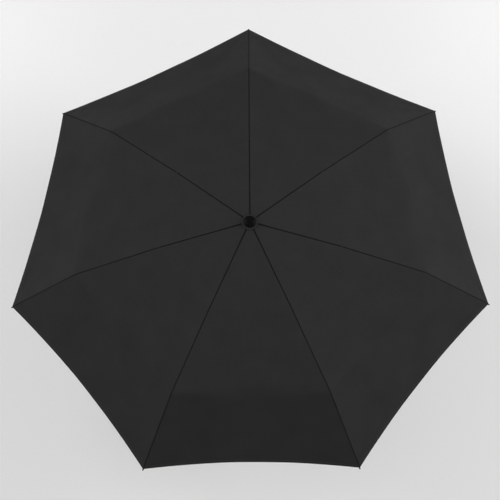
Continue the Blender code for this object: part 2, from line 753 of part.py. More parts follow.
def grip_mesh():
    """The hand grip: a waisted barrel, hollowed for the tube and the end plug."""
    bore = LOWER_TUBE_RADIUS + GAP
    top = HANDLE_LENGTH
    waist = HANDLE_WAIST_RADIUS
    socket = PLUG_RADIUS + GAP
    profile = [
        (bore, PLUG_FLANGE + GAP),
        (socket, PLUG_FLANGE + GAP),
        (socket, 0.8 * MM),
        (HANDLE_RADIUS - 1 * MM, 0.8 * MM),
        (HANDLE_RADIUS, 2 * MM),
        (HANDLE_RADIUS, 8 * MM),
        (waist + 0.5 * MM, 16 * MM),
        (waist, top * 0.5),
        (waist + 0.5 * MM, top - 16 * MM),
        (HANDLE_RADIUS - 0.4 * MM, top - 8 * MM),
        (HANDLE_RADIUS - 0.6 * MM, top - 3.5 * MM),
        (HANDLE_RADIUS - 2.2 * MM, top - 0.8 * MM),
        (HANDLE_RADIUS - 4 * MM, top),
        (bore, top),
    ]
    return turned(profile, 24)


def plug_mesh():
    """The handle's end plug, whose flat face closes the grip."""
    inner_bore = LOWER_TUBE_RADIUS - TUBE_WALL - GAP
    profile = [
        (0, 0),
        (PLUG_RADIUS - 0.7 * MM, 0),
        (PLUG_RADIUS, 0.7 * MM),
        (PLUG_RADIUS, PLUG_FLANGE),
        (inner_bore, PLUG_FLANGE),
        (inner_bore, PLUG_LENGTH),
        (0, PLUG_LENGTH),
    ]
    return turned(profile, 24)


def strap_eye_mesh():
    """A small staple on the grip's side for a wrist strap."""
    start, reach, high = STRAP_EYE_SETBACK, STRAP_EYE_REACH, STRAP_EYE_HALF_HEIGHT
    bevel, bar, half = 1.2 * MM, STRAP_EYE_BAR, STRAP_EYE_HALF_WIDTH
    outline = [(start, high), (start, -high), (reach - bevel, -high), (reach, -high + bevel)]
    outline += [(reach, high - bevel), (reach - bevel, high)]
    opening = block((start + bar, -2 * half, -high + bar), (reach - bar, 2 * half, high - bar))
    place = Matrix.Translation((HANDLE_WAIST_RADIUS, 0, HANDLE_LENGTH / 2))
    return placed(cut(plate(outline, -half, half), opening), place)


def build_handle(rubber, plastic, steel):
    """The grip, its end plug and the eye for a wrist strap."""
    part("handle_grip", grip_mesh(), rubber, smooth=True)
    part("handle_end_plug", plug_mesh(), plastic, smooth=True)
    part("strap_eye", strap_eye_mesh(), steel)


# canopy


def canopy_line():
    """The fabric's line over a rib, as (r, z) points, with the number of steps to each."""
    top = CROWN_Z + CANOPY_TOP
    return [
        Vector((STUD_RADIUS + 1 * MM, top)),
        Vector((CROWN_FLANGE_RADIUS, top)),
        at(OPEN["inner_joint"], INNER_SLOPE, 0, LIFT_AT_INNER_JOINT - JOINT_RISE),
        at(OPEN["middle_joint"], MIDDLE_SLOPE, 1 * MM, LIFT_AT_MIDDLE_JOINT + JOINT_RISE),
        at(OPEN["tip"], OUTER_SLOPE, -TIP_MARGIN, LIFT_AT_TIP),
    ]


def canopy_stations():
    """Distances along the canopy line at which a gore has a row of points."""
    line = canopy_line()
    stations, start = [0.0], 0.0
    for a, b, steps in zip(line, line[1:], GORE_STEPS):
        length = (b - a).length
        stations += [start + length * (i + 1) / steps for i in range(steps)]
        start += length
    return stations


def line_point(distance):
    """The canopy line's point a distance out from its inner end."""
    line = canopy_line()
    for a, b in zip(line, line[1:]):
        length = (b - a).length
        if distance <= length:
            return a + (b - a) * (distance / length)
        distance -= length
    return line[-1]


def gore_mesh():
    """One gore of the canopy, between ribs at half a rib step each side of +X. Its rows are
    chords from rib to rib, and its hem is cut back in the middle."""
    stations = canopy_stations()
    reach = stations[-1]
    shape = bmesh.new()
    grid = []
    for station in stations:
        row = []
        for i in range(GORE_ACROSS + 1):
            share = i / GORE_ACROSS
            cut_back = HEM_CUT * 4 * share * (1 - share)
            point = line_point(station * (1 - cut_back / reach))
            half_chord = point.x * math.sin(RIB_STEP / 2) - GAP
            place = Vector((point.x * math.cos(RIB_STEP / 2), (2 * share - 1) * half_chord, point.y))
            row.append(place)
        grid.append(row)
    half = Vector((0, 0, FABRIC / 2))
    upper = [[shape.verts.new(p + half) for p in row] for row in grid]
    lower = [[shape.verts.new(p - half) for p in row] for row in grid]
    for sheet in (upper, lower):
        for a, b in zip(sheet, sheet[1:]):
            for i in range(GORE_ACROSS):
                shape.faces.new((a[i], a[i + 1], b[i + 1], b[i]))
    rims = (
        (upper[0], lower[0]),
        (upper[-1], lower[-1]),
        ([row[0] for row in upper], [row[0] for row in lower]),
        ([row[-1] for row in upper], [row[-1] for row in lower]),
    )
    for above, below in rims:
        for i in range(len(above) - 1):
            shape.faces.new((above[i], above[i + 1], below[i + 1], below[i]))
    return finished(shape, "gore")


def build_canopy(fabric):
    """Seven gores, each clockwise of its rib, and the disc of fabric under the cap."""
    mesh = gore_mesh()
    for rib in range(RIB_COUNT):
        turn = Matrix.Rotation(rib_azimuth(rib) - RIB_STEP / 2, 4, "Z")
        part(f"canopy_gore_{rib + 1}", mesh, fabric, turn, smooth=True)
    part("cap_disc", disc_mesh(), fabric, smooth=True)


def build_hubs(plastic, steel):
    """The crown, cap, runner and the two wire rings."""
    part("crown", crown_mesh(), plastic, smooth=True)
    part("crown_ring", ring_mesh(CROWN_Z), steel)
    part("top_cap", cap_mesh(), plastic, smooth=True)
    part("runner", runner_mesh(), plastic, smooth=True)
    part("runner_ring", ring_mesh(RUNNER_Z), steel)
    part("runner_collar", collar_mesh(), plastic, smooth=True)


def main():
    for old in list(bpy.data.objects):
        bpy.data.objects.remove(old)
    fabric = material("black_fabric", (0.03, 0.03, 0.031), 0.8)
    plastic = material("black_plastic", (0.012, 0.012, 0.013), 0.35)
    rubber = material("black_rubber_grip", (0.02, 0.02, 0.021), 0.6)
    chrome = material("plated_tube", (0.62, 0.63, 0.65), 0.22, 1.0)
    steel = material("zinc_steel", (0.55, 0.56, 0.57), 0.35, 1.0)
    dark_steel = material("black_painted_steel", (0.03, 0.03, 0.032), 0.4, 0.3)
    glass_rod = material("black_glass_fibre", (0.025, 0.025, 0.026), 0.45)
    build_handle(rubber, plastic, steel)
    build_shaft(chrome, steel, plastic)
    build_hubs(plastic, steel)
    build_ribs(steel, dark_steel, glass_rod)
    build_canopy(fabric)


main()
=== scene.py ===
"""The looks of a three-section folding umbrella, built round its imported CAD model.

Metres. +Z runs up the shaft and rib 1 points along +Y; the others follow clockwise, seen from
above. Panel k of the canopy lies between rib k and the next one.
"""

import json
import math

import bpy
import numpy as np
from mathutils import Matrix, Vector


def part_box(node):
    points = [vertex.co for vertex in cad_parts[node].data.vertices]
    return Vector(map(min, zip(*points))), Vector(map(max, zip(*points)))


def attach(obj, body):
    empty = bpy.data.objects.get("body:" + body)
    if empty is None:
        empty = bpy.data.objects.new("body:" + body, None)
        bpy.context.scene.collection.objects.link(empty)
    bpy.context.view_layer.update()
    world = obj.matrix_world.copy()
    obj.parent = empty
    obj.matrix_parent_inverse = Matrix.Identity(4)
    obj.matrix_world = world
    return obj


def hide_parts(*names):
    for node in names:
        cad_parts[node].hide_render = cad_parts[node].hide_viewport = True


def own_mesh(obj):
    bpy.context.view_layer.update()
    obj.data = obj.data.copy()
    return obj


MM = 0.001

# the frame's sizes
RIBS = 7
STEP = 2 * math.pi / RIBS
HALF_STEP = STEP / 2
FIRST_AZIMUTH = math.radians(90)
INNER_SLOPE = math.radians(-10.6)
MIDDLE_SLOPE = math.radians(-16.6)
OUTER_SLOPE = math.radians(-41.2)
STRETCHER_SLOPE = math.radians(33.8)
OUTER_LENGTH = 183.5 * MM
JOINT_RISE = 1.8 * MM
STRETCHER_REACH = 82 * MM
STRETCHER_LENGTH = 97 * MM
LINK_OFFSET = 12.258 * MM
DISC_RADIUS = 15.5 * MM
STUD_RADIUS = 3 * MM

# the canopy's line over a rib, the curve cut into its hem, and how the line is sampled
FABRIC_START = 7 * MM
FLANGE_RADIUS = 14 * MM
CANOPY_TOP = 3.9 * MM
LIFT = 2.4 * MM
TIP_MARGIN = 5 * MM
HEM_CUT = 15 * MM
PAST_ENDS = 0.1
LINE_SAMPLES = 6000

# the cloth: how it bends over the joints, at a seam and between seams, the half length over which
# its slope is read, how far it hangs between the ribs, and the groove along a seam, which is
# shallower over the outer ribs
SHARP_BEND = 3 * MM
SOFT_BEND = 26 * MM
SLOPE_SPAN = 2 * MM
SAG = 5 * MM
SAG_FADE = 110 * MM
GROOVE_DEPTH = 1.2 * MM
GROOVE_DEPTH_OUTSIDE = 0.4 * MM
GROOVE_WIDTH = 1.0 * MM

# its creases out of the lower corners, and its slack down the panel and aslant. The phases make
# the panels differ.
FOLDS_START = 120 * MM
CREASE_HEIGHT = 0.55 * MM
CREASE_START = 25 * MM
CREASE_REACH = 75 * MM
CREASE_COUNT = 9
CREASE_PHASE = 1.7
SLACK_HEIGHT = 0.5 * MM
SLACK_WAVE = 31 * MM
SLACK_PHASE = 2.1
SLANT_HEIGHT = 0.35 * MM
SLANT_WAVE = 57 * MM
SLANT_ACROSS = 17
SLANT_PHASE = 1.3

# its hem and seams, each section as (how far in from the edge, how far under the cloth) in mm
HEM_WIDTH = 7 * MM
HEM_STITCH = 5.5 * MM
DIMPLE_DEPTH = 0.2 * MM
DIMPLE_WIDTH = 0.8 * MM
HEM_SECTION = (
    (-0.25, 0.12), (-0.3, 0.4), (0.0, 0.62), (2.0, 0.6), (4.5, 0.55), (HEM_WIDTH / MM, 0.5),
)
SEAM_WIDTH = 5 * MM
SEAM_START = 16 * MM
SEAM_NARROWS = 14 * MM
SEAM_SECTION = ((0.15, 0.25), (0.8, 0.75), (2.2, 0.7), (3.8, 0.6), (SEAM_WIDTH / MM, 0.5))

# the weave, half of each measure of the stitches, where the shade beside a seam begins and ends to
# fade, and how far along the cloth the disc was cut
WEAVE_PITCH = 0.45 * MM
STITCH_HALF_STEP = 1.4 * MM
STITCH_HALF_GAP = 0.45 * MM
STITCH_HALF_WIDTH = 0.35 * MM
SEAM_SHADE = (0.4 * MM, 1.9 * MM)
DISC_CUT = 0.3

# the disc's edge ripples
DISC_SIDES = 84
RIPPLES = 7
RIPPLE_TURN = 0.6
RIPPLE_HEIGHT = 0.12 * MM
RIPPLE_START = 9 * MM
RIPPLE_RISE = 6 * MM

# the ties and rivets
THREAD_RADIUS = 0.22 * MM
THREAD_SIDES = 6
THREAD_PITCH = 0.5 * MM
STEPS_IN_A_TURN = 20
TIE_RADIUS = 2.0 * MM
ROD_TIE_RADIUS = 1.33 * MM
TIP_TIE_RADIUS = 1.2 * MM
RIVET_PIN = 0.75 * MM
RIVET_HEAD = 1.5 * MM
RIVET_DOME = 0.55 * MM
RIVET_GAP = 0.05 * MM
RIVET_SIDES = 16

# where the rivets' bars and the upper rivet's spacer begin and end, sideways from the inner rib
UPPER_RIVET = (-1.2 * MM, 4.7 * MM)
UPPER_SPACER = (1.25 * MM, 3.65 * MM)
LOWER_RIVET = (2.7 * MM, 4.7 * MM)

# the camera
TILT = math.radians(17.3)
DISTANCE = 4.457
AIM_RISE = 8.5 * MM
LENS = 160.9
ROLL = math.radians(0.36)
SENSOR = 36
CLIP_END = 100

# the lamps, each as (name, its direction from the point that all of them face, size, power)
LAMP_DISTANCE = 3.6
LAMP_AIM = 0.45
LAMPS = (
    ("left_lamp", (-0.5, 0.3, 0.8), (1.6, 1.6), 30.0),
    ("right_lamp", (0.5, 0.3, 0.8), (1.6, 1.6), 12.0),
    ("low_left_lamp", (-0.87, 0.1, 0.48), (1.6, 1.6), 52.0),
    ("low_right_lamp", (0.87, 0.1, 0.48), (1.6, 1.6), 82.0),
    ("front_lamp", (0.0, -0.72, 0.7), (1.8, 1.2), 17.0),
)

# the surround's tones, the heights between which it darkens, and the floor
HORIZON = 0.45
ZENITH = 0.2
DARKENS = (0.2, 0.95)
FLOOR_REACH = 25.0

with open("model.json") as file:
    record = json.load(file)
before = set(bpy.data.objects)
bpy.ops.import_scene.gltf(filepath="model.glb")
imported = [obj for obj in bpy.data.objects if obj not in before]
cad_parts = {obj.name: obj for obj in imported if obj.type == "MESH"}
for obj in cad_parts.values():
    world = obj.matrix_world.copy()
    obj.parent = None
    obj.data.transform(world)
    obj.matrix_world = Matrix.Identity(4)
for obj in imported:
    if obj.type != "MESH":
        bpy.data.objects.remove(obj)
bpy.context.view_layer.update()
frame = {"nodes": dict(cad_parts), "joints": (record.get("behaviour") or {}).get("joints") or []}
JOINTS = {joint["name"]: joint for joint in frame["joints"]}


# places


def rib_axes(rib):
    """A rib's direction away from the shaft, and the direction sideways from it."""
    turn = FIRST_AZIMUTH - rib * STEP
    return (
        np.array((math.cos(turn), math.sin(turn), 0.0)),
        np.array((-math.sin(turn), math.cos(turn), 0.0)),
    )


def in_plane(place):
    """A world place as (distance from the shaft, height)."""
    return np.array((math.hypot(place[0], place[1]), place[2]))


def pivot(kind):
    """A bar's hinge in its rib's plane."""
    return in_plane(JOINTS[f"{kind}_1_hinge"]["pos_m"])


def along(slope):
    """The unit vector in a rib's plane at a slope."""
    return np.array((math.cos(slope), math.sin(slope)))


def beside(slope):
    """The unit vector square to a slope, towards the canopy."""
    return along(slope + math.pi / 2)


CROWN = pivot("inner_rib")
JOINT_1 = pivot("middle_rib")
JOINT_2 = pivot("outer_rib")
TIP = JOINT_2 + along(OUTER_SLOPE) * OUTER_LENGTH + beside(OUTER_SLOPE) * JOINT_RISE

LINE = np.array(
    (
        (FABRIC_START, CROWN[1] + CANOPY_TOP),
        (FLANGE_RADIUS, CROWN[1] + CANOPY_TOP),
        JOINT_1 + beside(INNER_SLOPE) * LIFT,
        JOINT_2 + along(MIDDLE_SLOPE) * MM + beside(MIDDLE_SLOPE) * (LIFT + JOINT_RISE),
        TIP - along(OUTER_SLOPE) * TIP_MARGIN + beside(OUTER_SLOPE) * LIFT,
    )
)
LENGTHS = np.concatenate(([0.0], np.cumsum(np.linalg.norm(np.diff(LINE, axis=0), axis=1))))
RING_ENDS = (LENGTHS[0], LENGTHS[2], LENGTHS[3], LENGTHS[4])
REACH = RING_ENDS[3]


def line_integral():
    """The line's running sum, from which its mean over any stretch is read off. The line goes
    straight on past both of its ends."""
    spread = np.linspace(-PAST_ENDS, REACH + PAST_ENDS, LINE_SAMPLES)
    first, last = LINE[1] - LINE[0], LINE[4] - LINE[3]
    first, last = first / np.linalg.norm(first), last / np.linalg.norm(last)
    points = np.stack([np.interp(spread, LENGTHS, LINE[:, i]) for i in (0, 1)], axis=1)
    points += np.minimum(spread, 0)[:, None] * first
    points += np.maximum(spread - REACH, 0)[:, None] * last
    steps = (points[1:] + points[:-1]) / 2 * np.diff(spread)[:, None]
    return spread, np.concatenate((np.zeros((1, 2)), np.cumsum(steps, axis=0)))


SPREAD, RUNNING = line_integral()


def line_at(station, bend):
    """The canopy line at stations along it, its corners rounded over a length."""
    ends = [
        np.stack([np.interp(station + sign * bend, SPREAD, RUNNING[:, i]) for i in (0, 1)], axis=-1)
        for sign in (1, -1)
    ]
    return (ends[0] - ends[1]) / (2 * bend)[..., None]


# the canopy's surface


def smooth_step(x):
    """0 below 0, 1 above 1, and a smooth rise between."""
    x = np.clip(x, 0, 1)
    return x * x * (3 - 2 * x)


def folds(panel, station, share, chord):
    """Slight creases that fan out from the panel's two lower corners, and slack between."""
    lift = np.zeros_like(station)
    for corner, across in ((0, share * chord), (1, (1 - share) * chord)):
        back = REACH - station
        away = np.hypot(back, across) + 1e-6
        angle = np.arctan2(across, back + 1e-9)
        fade = np.exp(-away / CREASE_REACH) * smooth_step(away / CREASE_START)
        waves = np.sin(angle * (CREASE_COUNT + corner) + panel * CREASE_PHASE + corner)
        lift += CREASE_HEIGHT * fade * waves * np.sin(np.minimum(angle * 2, math.pi))
    slack = np.sin(math.pi * share) ** 2
    lift += SLACK_HEIGHT * slack * np.sin(station / SLACK_WAVE + panel * SLACK_PHASE)
    slant = share * SLANT_ACROSS + station / SLANT_WAVE + panel * SLANT_PHASE
    lift += SLANT_HEIGHT * slack * np.sin(slant)
    return lift


def surface(panel, station, share):
    """The cloth of a panel: a share of the way across, at a station down it."""
    toward, sideways = rib_axes(panel)
    middle, _ = rib_axes(panel + 0.5)
    chord_way = -math.sin(HALF_STEP) * toward - math.cos(HALF_STEP) * sideways
    bulge = 4 * share * (1 - share)
    down = np.clip((station - RING_ENDS[2]) / (REACH - RING_ENDS[2]), 0, None)
    place = station - HEM_CUT * bulge * down
    bend = SHARP_BEND + (SOFT_BEND - SHARP_BEND) * bulge
    point = line_at(place, bend)
    ahead = line_at(place + SLOPE_SPAN, bend) - line_at(place - SLOPE_SPAN, bend)
    ahead /= np.linalg.norm(ahead, axis=-1)[..., None]
    up = -ahead[..., 1:] * middle + ahead[..., :1] * np.array((0, 0, 1.0))
    chord = 2 * point[..., 0] * math.sin(HALF_STEP)
    rise = smooth_step(place / RING_ENDS[2]) * smooth_step((REACH - place) / SAG_FADE)
    near = np.minimum(share, 1 - share) * chord
    drop = SAG * bulge * rise
    outside = smooth_step((place - RING_ENDS[1]) / (RING_ENDS[2] - RING_ENDS[1]))
    groove = GROOVE_DEPTH + (GROOVE_DEPTH_OUTSIDE - GROOVE_DEPTH) * outside
    drop += groove * np.exp(-((near / GROOVE_WIDTH) ** 2))
    drop -= folds(panel, place, share, chord) * smooth_step(place / FOLDS_START)
    flat = point[..., :1] * toward + point[..., 1:] * np.array((0, 0, 1.0))
    return flat + (share * chord)[..., None] * chord_way - drop[..., None] * up


def surface_normal(panel, station, share):
    """The cloth's upward normal, from its slopes both ways."""
    small = 0.2 * MM
    ahead = surface(panel, station + small, share) - surface(panel, station - small, share)
    step = 0.002
    low, high = np.clip(share - step, 0, 1), np.clip(share + step, 0, 1)
    across = surface(panel, station, high) - surface(panel, station, low)
    normal = np.cross(across, ahead)
    normal /= np.linalg.norm(normal, axis=-1)[..., None]
    return normal * np.sign(normal[..., 2:])


# the rows of each piece, and how far above the hem the outer piece's last ones are
ROWS = (27, 27, 9, 25)
HEM_ROWS_START = 10 * MM
HEM_ROWS = np.array((7.5, 6.2, 5.5, 4.8, 3.2, 1.4, 0.5, 0.0)) * MM

# the columns beside a seam, which draw together where the panel is narrow, and all the others
GROOVE_COLUMNS = np.array((0.0, 0.3, 0.6, 0.95, 1.4, 2.1, 3.2)) * MM
NARROW = 8 * MM
WIDE_COLUMNS = 15


def columns(station):
    """How far across the panel each column is, close together beside the seam."""
    half_chord = line_at(station, np.full_like(station, SHARP_BEND))[:, :1] * math.sin(HALF_STEP)
    near = GROOVE_COLUMNS[None, :] * np.minimum(1, half_chord / NARROW)
    wide = near[:, -1:] + (half_chord - near[:, -1:]) * np.linspace(0, 1, WIDE_COLUMNS)[1:]
    return np.concatenate((near, wide), axis=1) / (2 * half_chord)


def fold_line(start, slope, share):
    """How far beyond a joint the cloth folds, a share of the way across from the rib. The line
    is square to the bar, so that the folded cloth ends level with the joint."""
    middle_to_rib = math.sin(HALF_STEP) * math.cos(slope)
    spread = 2 * middle_to_rib * math.sin(HALF_STEP) * share
    return spread * start / (1 - spread * math.cos(slope))


def edge(number, share):
    """The station at which a piece of a panel ends, a share of the way across from the rib."""
    if number == 1:
        return RING_ENDS[1] + fold_line(LINE[2, 0], MIDDLE_SLOPE, share)
    if number == 3:
        return RING_ENDS[2] + fold_line(LINE[3, 0], OUTER_SLOPE, share)
    return {0: 0.0, 2: RING_ENDS[2], 4: REACH}[number] + 0 * share


def row_stations(number, share):
    """The stations of a piece's rows, closer together at the hem."""
    start, end = edge(number, share), edge(number + 1, share)
    down = np.linspace(0, 1, ROWS[number])[:, None]
    if number < 3:
        return start + (end - start) * down
    split = len(down)
    rows = start[:split] + (end[:split] - HEM_ROWS_START - start[:split]) * down
    return np.concatenate((rows, end[split:] - HEM_ROWS[:, None]))


def piece_grid(number):
    """The stations and shares of a piece's rows and columns, with shares from its own rib."""
    count = ROWS[number] + (len(HEM_ROWS) if number == 3 else 0)
    rib_line = row_stations(number, np.zeros((count, 1)))[:, 0]
    share = columns(rib_line)
    return row_stations(number, share), share


def grid_faces(rows, across):
    """The faces of a grid of vertices, numbered row by row."""
    return [
        (i * across + j, i * across + j + 1, (i + 1) * across + j + 1, (i + 1) * across + j)
        for i in range(rows - 1)
        for j in range(across - 1)
    ]


def cloth_layers(panel, from_start, number):
    """The grids of a piece of cloth as (points, normals, uv): the face, and what is sewn
    under it. The first column is on the seam, and the last on the panel's middle."""
    station, share = piece_grid(number)
    if not from_start:
        share = 1 - share
    points, normals = surface(panel, station, share), surface_normal(panel, station, share)
    width = 2 * station * math.sin(HALF_STEP)
    uv = np.stack(((share - 0.5) * width, station), axis=-1)
    dimple = np.exp(-(((REACH - station - HEM_STITCH) / DIMPLE_WIDTH) ** 2))
    points = points - normals * (DIMPLE_DEPTH * dimple)[..., None]
    layers = [(points, normals, uv)]
    if number == 3:
        last_station, last_share = station[-1:], share[-1:]
        turned = []
        for back, under in HEM_SECTION:
            row = surface(panel, last_station - back * MM, last_share)
            turned.append(row - normals[-1:] * under * MM)
        turned = np.concatenate([points[-1:], *turned])
        edge_uv = np.repeat(uv[-1:], len(turned), axis=0)
        edge_uv[:, :, 1] += np.linspace(0, HEM_WIDTH, len(turned))[:, None]
        layers.append((turned, None, edge_uv))
    return layers


def seam_layer(panel, from_start, number):
    """The seam's allowance, pressed flat under the cloth beside a rib."""
    station = piece_grid(number)[0][:, 0]
    station = station[station > SEAM_START]
    station = station[station < REACH - HEM_WIDTH]
    chord = 2 * line_at(station, np.full_like(station, SHARP_BEND))[:, 0] * math.sin(HALF_STEP)
    rows = []
    for away, under in SEAM_SECTION:
        share = away * MM * np.minimum(1, chord / SEAM_NARROWS) / chord
        share = share if from_start else 1 - share
        point = surface(panel, station, share)
        normal = surface_normal(panel, station, np.clip(share, 0.02, 0.98))
        rows.append(point - normal * under * MM)
    points = np.stack(rows, axis=1)
    u = np.linspace(0, SEAM_WIDTH, len(SEAM_SECTION))
    uv = np.stack(np.broadcast_arrays(u[None, :], station[:, None]), axis=-1)
    return points, None, uv


def mesh_from_layers(name, layers, flip, look):
    """One mesh from grids of points, with the cloth's own normals and its flat coordinates."""
    vertices, faces, normals, uvs = [], [], [], []
    for points, normal, uv in layers:
        rows, across = points.shape[:2]
        flat = [tuple(p) for p in points.reshape(-1, 3)]
        first = {}
        same = [first.setdefault(tuple(round(c, 7) for c in p), i) for i, p in enumerate(flat)]
        kept = sorted(set(same))
        place = {old: len(vertices) + new for new, old in enumerate(kept)}
        for face in grid_faces(rows, across):
            corners = list(dict.fromkeys(place[same[i]] for i in face))
            if len(corners) > 2:
                faces.append(tuple(corners))
        vertices += [flat[i] for i in kept]
        uvs += [tuple(uv.reshape(-1, 2)[i]) for i in kept]
        if normal is None:
            normals += [(0.0, 0.0, 0.0)] * len(kept)
        else:
            normals += [tuple(normal.reshape(-1, 3)[i]) for i in kept]
    if flip:
        faces = [face[::-1] for face in faces]
    mesh = bpy.data.meshes.new(name)
    mesh.from_pydata(vertices, [], faces)
    layer = mesh.uv_layers.new(name="cloth")
    for loop in mesh.loops:
        layer.data[loop.index].uv = uvs[loop.vertex_index]
    mesh.shade_smooth()
    mesh.materials.append(look)
    mesh.normals_split_custom_set_from_vertices(normals)
    made = bpy.data.objects.new(name, mesh)
    bpy.context.scene.collection.objects.link(made)
    return made


# each half panel's pieces from the crown to the hem: name, bar, slope, and where the cloth goes
# as the ribs fold, as (the share of its width that it keeps, how far beside the rib it lies on
# either side)
PIECES = (
    ("inner", "inner_rib", INNER_SLOPE, (0.01, 5.1 * MM, 2.4 * MM)),
    ("middle", "middle_rib", MIDDLE_SLOPE, (0.006, 6.0 * MM, 3.6 * MM)),
    ("gusset", "outer_rib", OUTER_SLOPE, (0.015, 2.6 * MM, 2.0 * MM)),
    ("outer", "outer_rib", OUTER_SLOPE, (0.048, 0.0, 0.0)),
)
GUSSET_LEAN = math.radians(2)


def gather(piece, rib, side, number):
    """Puts the piece on the bar that it lies along, with a mesh of its own."""
    toward, sideways = rib_axes(rib)
    name, bar_name, slope, (keep, beside_plus, beside_minus) = PIECES[number]
    up = np.array((0, 0, 1.0))
    bar = math.cos(slope) * toward + math.sin(slope) * up
    chord_way = -math.sin(HALF_STEP) * toward + side * math.cos(HALF_STEP) * sideways
    if name == "gusset":
        down = bar - (chord_way @ bar) * chord_way
        down /= np.linalg.norm(down)
        axis = math.cos(GUSSET_LEAN) * chord_way + math.sin(GUSSET_LEAN) * down
    else:
        axis = chord_way - (chord_way @ bar) * bar
        axis /= np.linalg.norm(axis)
    end = line_at(edge(number + 1, np.zeros(1)), np.array([SHARP_BEND]))[0]
    anchor = end[0] * toward + end[1] * up
    anchor = anchor + axis * (beside_plus if side > 0 else beside_minus)
    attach(piece, f"{bar_name}_{rib + 1}")
    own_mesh(piece)


def build_canopy(look):
    """Each panel in two halves of four pieces, every piece on the bar that it lies along. A rib
    carries the halves of the two panels beside it."""
    for rib in range(RIBS):
        for side, panel, from_start in ((-1, rib, True), (1, (rib - 1) % RIBS, False)):
            for number, (kind, bar, _, _) in enumerate(PIECES):
                layers = cloth_layers(panel, from_start, number)
                if side < 0 and kind != "gusset":
                    layers.append(seam_layer(panel, from_start, number))
                hand = "left" if side > 0 else "right"
                piece = mesh_from_layers(f"canopy_{kind}_{rib + 1}_{hand}", layers, side > 0, look)
                gather(piece, rib, side, number)
                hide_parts(f"canopy_gore_{panel + 1}")


# materials


def material(name, **sockets):
    """A Principled material and its node tree."""
    made = bpy.data.materials.new(name)
    made.use_nodes = True
    shader = made.node_tree.nodes["Principled BSDF"]
    for socket, value in sockets.items():
        shader.inputs[socket.replace("_", " ")].default_value = value
    return made, made.node_tree, shader


def node(tree, kind, inputs=(), **settings):
    """A node with its settings, and its inputs as numbers or links."""
    made = tree.nodes.new("ShaderNode" + kind)
    for key, value in settings.items():
        setattr(made, key, value)
    for socket, value in dict(inputs).items():
        if isinstance(value, bpy.types.NodeSocket):
            tree.links.new(value, made.inputs[socket])
        else:
            made.inputs[socket].default_value = value
    return made.outputs[0]


def maths(tree, operation, first, second=0.0, third=0.0):
    """A Math node."""
    return node(tree, "Math", {0: first, 1: second, 2: third}, operation=operation)


def noise(tree, vector, scale, detail=3.0, rough=0.5):
    """A noise pattern's value."""
    inputs = {"Vector": vector, "Scale": scale, "Detail": detail, "Roughness": rough}
    return node(tree, "TexNoise", inputs)


def between(tree, value, low, high, to_low, to_high):
    """A value moved from one range to another, and kept in it."""
    inputs = {"Value": value, 1: low, 2: high, 3: to_low, 4: to_high}
    return node(tree, "MapRange", inputs)


def mixed(tree, share, first, second):
    """One colour turning into another."""
    made = tree.nodes.new("ShaderNodeMix")
    made.data_type = "RGBA"
    for socket, value in ((0, share), (6, first), (7, second)):
        if isinstance(value, bpy.types.NodeSocket):
            tree.links.new(value, made.inputs[socket])
        elif socket == 0:
            made.inputs[0].default_value = value
        else:
            made.inputs[socket].default_value = (*value, 1)
    return made.outputs[2]


def bump(tree, height, strength, depth, under=None):
    """A bump node's normal."""
    inputs = {"Height": height, "Strength": strength, "Distance": depth}
    if under is not None:
        inputs["Normal"] = under
    return node(tree, "Bump", inputs)


def shade(tree, shader, **links):
    """Links nodes to the shader's sockets."""
    for socket, value in links.items():
        tree.links.new(value, shader.inputs[socket.replace("_", " ")])


def cloth_look():
    """Black polyester: a plain weave, slubs, clouding, painted shade along the seams and a row of
    stitches at the hem."""
    made, tree, shader = material("woven_polyester", IOR=1.08, Sheen_Weight=0.02,
                                  Sheen_Roughness=0.4)
    place = node(tree, "UVMap", uv_map="cloth")
    parts = tree.nodes.new("ShaderNodeSeparateXYZ")
    tree.links.new(place, parts.inputs[0])
    u, v = parts.outputs[0], parts.outputs[1]
    thread = math.pi / WEAVE_PITCH
    warp = maths(tree, "SINE", maths(tree, "MULTIPLY", u, thread))
    weft = maths(tree, "SINE", maths(tree, "MULTIPLY", v, thread))
    weave = maths(tree, "MULTIPLY", warp, weft)
    across = node(tree, "Mapping", {"Vector": place, "Scale": (900, 14, 1)})
    down = node(tree, "Mapping", {"Vector": place, "Scale": (14, 900, 1)})
    slubs = maths(tree, "ADD", noise(tree, across, 1, 2), noise(tree, down, 1, 2))
    slubs = between(tree, slubs, 0.75, 1.25, 0, 1)
    clouds = noise(tree, place, 16, 4)
    tone = maths(tree, "MULTIPLY_ADD", slubs, 0.35, maths(tree, "MULTIPLY", clouds, 0.65))
    cloth = mixed(tree, between(tree, tone, 0.25, 0.75, 0, 1), (0.0208, 0.0208, 0.0213),
                  (0.0262, 0.0262, 0.0267))
    row = maths(tree, "COMPARE", v, REACH - HEM_STITCH, STITCH_HALF_WIDTH)
    dash = maths(tree, "PINGPONG", u, STITCH_HALF_STEP)
    dash = maths(tree, "GREATER_THAN", dash, STITCH_HALF_GAP)
    stitch = maths(tree, "MULTIPLY", row, dash)
    # painted shade: within about 2 mm of each seam the base colour darkens towards near black,
    # standing in for the shade that falls into the seam's groove
    past_seam = maths(tree, "SUBTRACT", maths(tree, "MULTIPLY", v, math.sin(HALF_STEP)),
                      maths(tree, "ABSOLUTE", u))
    crease = between(tree, past_seam, *SEAM_SHADE, 0.75, 0)
    cloth = mixed(tree, crease, cloth, (0.002, 0.002, 0.002))
    shade(tree, shader, Base_Color=mixed(tree, stitch, cloth, (0.05, 0.05, 0.051)))
    shade(tree, shader, Roughness=between(tree, tone, 0.25, 0.75, 0.62, 0.5))
    lumps = bump(tree, clouds, 0.16, 1.2 * MM)
    threads = bump(tree, slubs, 0.2, 0.12 * MM, lumps)
    fine = bump(tree, weave, 0.25, 0.08 * MM, threads)
    shade(tree, shader, Normal=bump(tree, stitch, 0.7, 0.3 * MM, fine))
    return made


